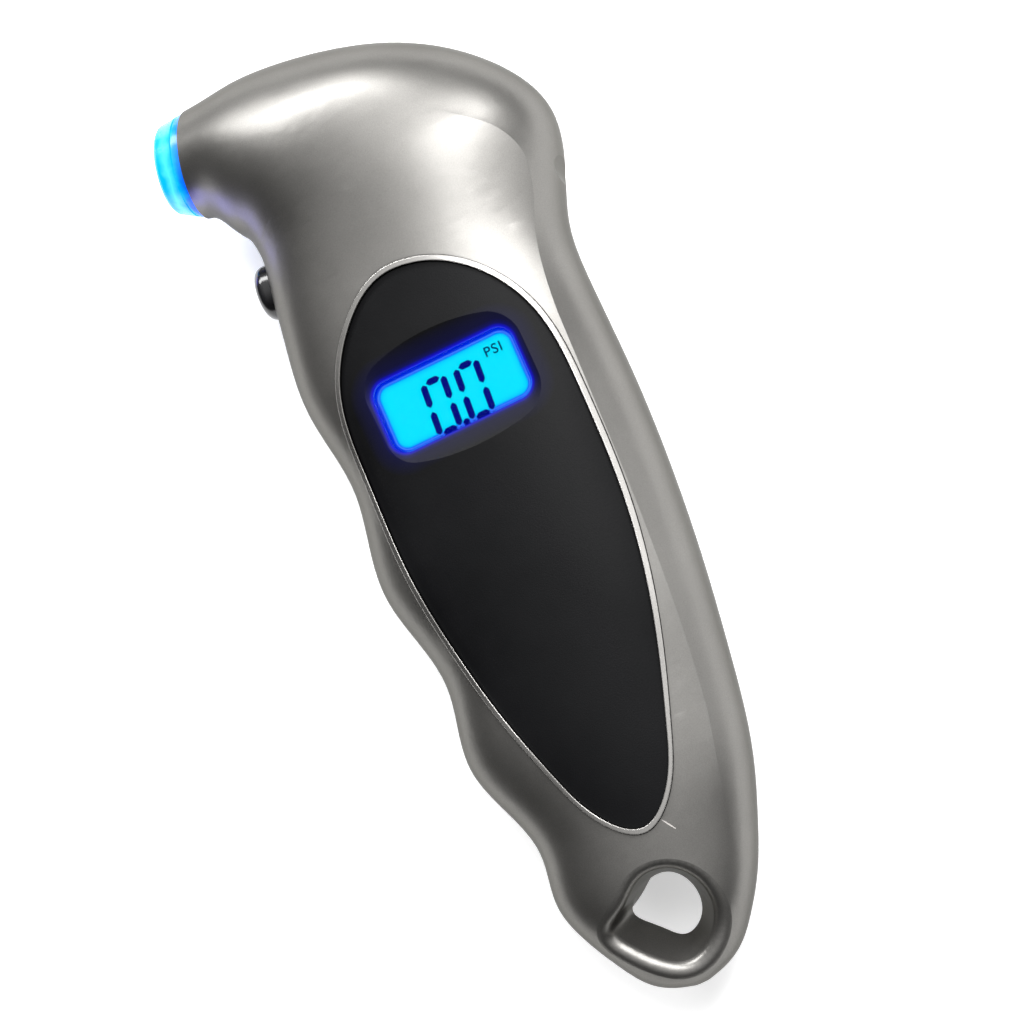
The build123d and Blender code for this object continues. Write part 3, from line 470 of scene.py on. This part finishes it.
SEGMENT = ink("segment_ink", (0.0, 0.001, 0.16))
UNIT = ink("unit_ink", (0.0, 0.04, 0.12))


DIGITS_X = (-2.4, 2.9)
DIGITS_Y = -1.15
DIGIT = (4.2, 8.7, 1.0)  # width, height and bar width, in millimetres


def slanted(x, y, slant=0.06):
    """A display place in metres, from millimetres about the display's centre."""
    return (DISPLAY.x + (x + slant * y) * MM, DISPLAY.y + y * MM)


def digit_zero(cx, cy, wide, tall, bar):
    """The outlines of a seven-segment nought's six bars."""
    w, h, b, gap = wide / 2, tall / 2, bar / 2, bar * 0.3
    outlines = []
    for side in (-1, 1):
        for top in (-1, 1):
            x = cx + side * (w - b)
            start, end = cy + top * gap, cy + top * (h - b - gap)
            mid = top * b
            outlines.append(
                [
                    (x, start),
                    (x + b, start + mid),
                    (x + b, end - mid * 0.2),
                    (x, end + mid * 0.6),
                    (x - b, end - mid * 0.2),
                    (x - b, start + mid),
                ]
            )
    for top in (-1, 1):
        y = cy + top * (h - b)
        left, right = cx - w + b + gap * 1.6, cx + w - b - gap * 1.6
        upper = [(left, y), (left + b, y + b), (right - b, y + b)]
        lower = [(right, y), (right - b, y - b), (left + b, y - b)]
        outlines.append(upper + lower)
    return [[slanted(x, y) for x, y in outline] for outline in outlines]


def add_display():
    figures = []
    for across in DIGITS_X:
        figures += digit_zero(across, DIGITS_Y, *DIGIT)
    turns = [2 * pi * i / 12 for i in range(12)]
    figures.append([slanted(0.25 + 0.5 * cos(a), -4.9 + 0.45 * sin(a)) for a in turns])
    flat_prism("display_figures", figures, GLASS_TOP + 0.01 * MM, 0.02 * MM, "case", SEGMENT)
    words = bpy.data.curves.new("unit_text", "FONT")
    words.body = "PSI"
    words.size = 2.1 * MM
    words.offset = 0.025 * MM
    words.space_character = 1.15
    words.extrude = 0.01 * MM
    words.align_x = "CENTER"
    text = bpy.data.objects.new("unit_text", words)
    bpy.context.scene.collection.objects.link(text)
    text.location = (DISPLAY.x + 7.7 * MM, DISPLAY.y + 2.3 * MM, GLASS_TOP + 0.02 * MM)
    words.materials.append(UNIT)
    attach(text, "case")


finish_node("front_shell back_shell", PAINT)
finish_node("front_trim back_trim", TRIM_PAINT)
finish_node("front_panel back_panel battery_door", PANEL)
finish_node("power_button", BUTTON)
finish_node("nozzle_seal sensor_washer contact_strip", RUBBER)
finish_node("switch_plunger button_switch battery_tray controller_chip ring_leads negative_lead", BLACK)
finish_node("nozzle_body sensor_pipe", BRASS)
finish_node("depressor_pin pressure_sensor board_screws case_screws spring_contact plate_contact", STEEL)
finish_node("button_cell_1 button_cell_2 button_cell_3", NICKEL)
finish_node("circuit_board ring_board", BOARD)
finish_node("sensor_leads positive_lead", RED)
finish_node("display_glass", display_material())
finish_node("light_guide", glow("light_guide_lit", (0.5, 0.8, 0.9), (0.3, 0.9, 1.0), 1.0))
finish_node("backlight_led ring_leds", glow("led_lit", (0.8, 0.9, 0.9), (0.5, 0.9, 1.0), 4.0))
finish_node("display_lens", lens_material())
finish_node("light_ring", ring_material())

add_camera()
add_display()


# ---------------------------------------------------------------- stage and lights
def area_light(name, at, aim, size, power, colour=(1, 1, 1)):
    lamp = bpy.data.lights.new(name, "AREA")
    lamp.shape = "RECTANGLE"
    lamp.size, lamp.size_y = size
    lamp.energy = power
    lamp.color = colour
    made = bpy.data.objects.new(name, lamp)
    bpy.context.scene.collection.objects.link(made)
    made.location = at
    made.rotation_euler = (Vector(aim) - Vector(at)).to_track_quat("-Z", "Y").to_euler()


def add_floor():
    build = bmesh.new()
    bmesh.ops.create_grid(build, x_segments=2, y_segments=2, size=1.5)
    mesh = bpy.data.meshes.new("floor")
    build.to_mesh(mesh)
    build.free()
    floor = bpy.data.objects.new("floor", mesh)
    bpy.context.scene.collection.objects.link(floor)
    look = Look("floor_white", Roughness=0.9, Emission_Strength=0.4, Specular_IOR_Level=0.1)
    look.shader.inputs["Emission Color"].default_value = (1, 1, 1, 1)
    whites = [(0.3, (0.90, 0.90, 0.90)), (0.7, (0.93, 0.93, 0.93))]
    look.set("Base Color", look.ramp(look.noise(20), whites))
    mesh.materials.append(look.mat)


BRIGHTEST = (0.30, 0.25, 0.92)  # direction of the studio's soft overhead light
BRIGHT_STRENGTH = 1.5
DARK_STRENGTH = 0.02
FALL_OFF = 3.2


def add_world():
    """A soft white light overhead that falls off to near darkness at the horizon."""
    world = bpy.data.worlds.new("studio")
    bpy.context.scene.world = world
    world.use_nodes = True
    nodes, links = world.node_tree.nodes, world.node_tree.links
    sky = nodes.new("ShaderNodeTexCoord")
    towards = nodes.new("ShaderNodeVectorMath")
    towards.operation = "DOT_PRODUCT"
    towards.inputs[1].default_value = Vector(BRIGHTEST).normalized()
    shade = nodes.new("ShaderNodeMapRange")
    shade.inputs["From Min"].default_value = -0.1
    steep = nodes.new("ShaderNodeMath")
    steep.operation = "POWER"
    steep.inputs[1].default_value = FALL_OFF
    strength = nodes.new("ShaderNodeMath")
    strength.operation = "MULTIPLY_ADD"
    strength.inputs[1].default_value = BRIGHT_STRENGTH
    strength.inputs[2].default_value = DARK_STRENGTH
    background = nodes["Background"]
    background.inputs["Color"].default_value = (1, 1, 1, 1)
    links.new(sky.outputs["Generated"], towards.inputs[0])
    links.new(towards.outputs["Value"], shade.inputs["Value"])
    links.new(shade.outputs["Result"], steep.inputs[0])
    links.new(steep.outputs["Value"], strength.inputs[0])
    links.new(strength.outputs["Value"], background.inputs["Strength"])


def add_ring_spill():
    """The ring's blue light on the shell under the nozzle."""
    spill = bpy.data.lights.new("ring_spill", "POINT")
    spill.energy = 0.0013
    spill.color = (0.12, 0.10, 1.0)
    spill.shadow_soft_size = 0.004
    lamp = bpy.data.objects.new("ring_spill", spill)
    bpy.context.scene.collection.objects.link(lamp)
    lamp.location = MOUTH_CENTRE + NOZZLE_DIR * 0.004 + Vector((-0.003, -0.013, 0.004))


add_floor()
add_world()
area_light("key", (0.26, 0.22, 0.5), (0, 0, 0), (0.14, 0.5), 3.0)
area_light("top", (-0.1, 0.5, 0.35), (0, 0, 0), (0.5, 0.16), 3.6)
area_light("right", (0.5, -0.05, 0.16), (0, 0, 0.01), (0.3, 0.8), 0.9)
add_ring_spill()
bpy.context.scene.view_settings.view_transform = "Standard"
